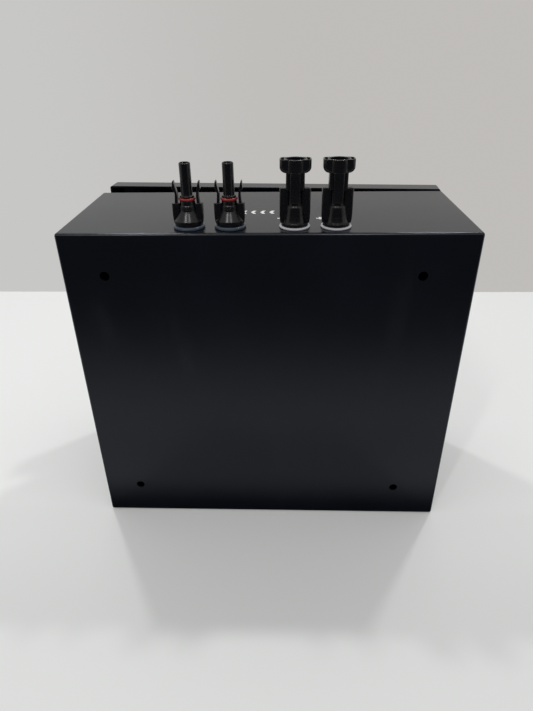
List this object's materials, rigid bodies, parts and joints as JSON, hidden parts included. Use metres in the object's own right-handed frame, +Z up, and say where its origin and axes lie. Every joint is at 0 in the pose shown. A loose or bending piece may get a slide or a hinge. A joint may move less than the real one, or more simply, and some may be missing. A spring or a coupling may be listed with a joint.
{
  "type": "solar combiner box",
  "caption": "Wall-mount steel box that joins solar strings: panel connectors on its upper end, hinged door, fuses, breaker and surge protector inside.",
  "frame": {"origin": "middle of the four wall-fixing holes, on the outside of the back face", "axes": "+Y out of the back towards the wall, +Z up towards the connectors, hinges on the -X side"},
  "size_m": [0.2706, 0.1451, 0.2819],
  "materials": {
    "powder_coat": "black satin powder coat",
    "zinc_steel": "zinc-plated steel",
    "hinge_steel": "zinc-plated pressed steel",
    "chromed": "bright plated die casting",
    "gasket_foam": "closed-cell foam",
    "connector_black": "satin black moulding",
    "seal_blue_grey": "soft blue-grey seal",
    "seal_white": "soft whitish seal",
    "ring_red": "red silicone",
    "tinned_copper": "tinned copper",
    "nut_black": "black moulded nut",
    "module_grey": "light grey moulding",
    "carrier_grey": "mid grey moulding",
    "toggle_black": "black moulding",
    "surge_red": "red moulding",
    "fuse_ceramic": "white ceramic with plated caps",
    "copper": "bare copper",
    "earth_green": "green and yellow moulding",
    "lead_black": "black lead insulation",
    "lead_earth": "green and yellow lead insulation"
  },
  "bodies": {
    "box": {"enclosure": "powder_coat", "hinge_bracket_lower": "hinge_steel", "hinge_bracket_upper": "hinge_steel", "hinge_rivets": "zinc_steel", "mounting_plate": "zinc_steel", "stud_nuts": "zinc_steel", "din_rail": "zinc_steel", "rail_screws": "zinc_steel", "fuse_clips": "tinned_copper", "breaker_body": "module_grey", "surge_base": "module_grey", "earth_terminal": "earth_green", "end_stop_left": "carrier_grey", "end_stop_right": "carrier_grey", "terminal_screws": "zinc_steel", "comb_busbar_negative": "copper", "comb_busbar_positive": "copper", "input_leads": "lead_black", "earth_lead": "lead_earth", "connector_nuts": "nut_black", "fuse_holder_1": "module_grey", "fuse_holder_2": "module_grey", "fuse_holder_3": "module_grey", "fuse_holder_4": "module_grey", "socket_housing_1": "connector_black", "socket_ring_1": "ring_red", "socket_contact_1": "tinned_copper", "socket_seal_1": "seal_blue_grey", "plug_housing_1": "connector_black", "plug_contact_1": "tinned_copper", "plug_seal_1": "seal_white", "socket_housing_2": "connector_black", "socket_ring_2": "ring_red", "socket_contact_2": "tinned_copper", "socket_seal_2": "seal_blue_grey", "plug_housing_2": "connector_black", "plug_contact_2": "tinned_copper", "plug_seal_2": "seal_white"},
    "door": {"door": "powder_coat", "door_gasket": "gasket_foam", "hinge_leaf_lower": "hinge_steel", "hinge_leaf_upper": "hinge_steel", "hinge_pins": "zinc_steel", "lock_body": "chromed", "lock_nut": "zinc_steel"},
    "lock": {"lock_plug": "chromed", "lock_cam": "zinc_steel", "lock_cam_screw": "zinc_steel"},
    "toggle": {"breaker_toggle": "toggle_black"},
    "carrier_1": {"fuse_carrier_1": "carrier_grey", "fuse_1": "fuse_ceramic"},
    "carrier_2": {"fuse_carrier_2": "carrier_grey", "fuse_2": "fuse_ceramic"},
    "carrier_3": {"fuse_carrier_3": "carrier_grey", "fuse_3": "fuse_ceramic"},
    "carrier_4": {"fuse_carrier_4": "carrier_grey", "fuse_4": "fuse_ceramic"},
    "cartridge_positive": {"surge_cartridge_positive": "surge_red"},
    "cartridge_earth": {"surge_cartridge_earth": "surge_red"},
    "cartridge_negative": {"surge_cartridge_negative": "surge_red"}
  },
  "joints": [
    {"name": "door_hinge", "type": "hinge", "parent": "box", "child": "door", "pos_m": [-0.1332, -0.1165, 0], "axis": [0, 0, -1], "range_deg": [-3.6, 101.4]},
    {"name": "lock_turn", "type": "hinge", "parent": "door", "child": "lock", "pos_m": [0.09435, -0.13082, 0.0005], "axis": [0.0628, 0.998, 0], "range_deg": [0, 90]},
    {"name": "fuse_carrier_1_swing", "type": "hinge", "parent": "box", "child": "carrier_1", "pos_m": [-0.0267, -0.072, -0.02], "axis": [1, 0, 0], "range_deg": [0, 80]},
    {"name": "fuse_carrier_2_swing", "type": "hinge", "parent": "box", "child": "carrier_2", "pos_m": [-0.0089, -0.072, -0.02], "axis": [1, 0, 0], "range_deg": [0, 80]},
    {"name": "fuse_carrier_3_swing", "type": "hinge", "parent": "box", "child": "carrier_3", "pos_m": [0.0089, -0.072, -0.02], "axis": [1, 0, 0], "range_deg": [0, 80]},
    {"name": "fuse_carrier_4_swing", "type": "hinge", "parent": "box", "child": "carrier_4", "pos_m": [0.0267, -0.072, -0.02], "axis": [1, 0, 0], "range_deg": [0, 80]},
    {"name": "breaker_toggle_throw", "type": "hinge", "parent": "box", "child": "toggle", "pos_m": [0.0534, -0.0745, 0], "axis": [-1, 0, 0], "range_deg": [0, 56]},
    {"name": "cartridge_positive_pull", "type": "slide", "parent": "box", "child": "cartridge_positive", "axis": [0, -1, 0], "range_m": [0, 0.04]},
    {"name": "cartridge_earth_pull", "type": "slide", "parent": "box", "child": "cartridge_earth", "axis": [0, -1, 0], "range_m": [0, 0.04]},
    {"name": "cartridge_negative_pull", "type": "slide", "parent": "box", "child": "cartridge_negative", "axis": [0, -1, 0], "range_m": [0, 0.04]}
  ]
}
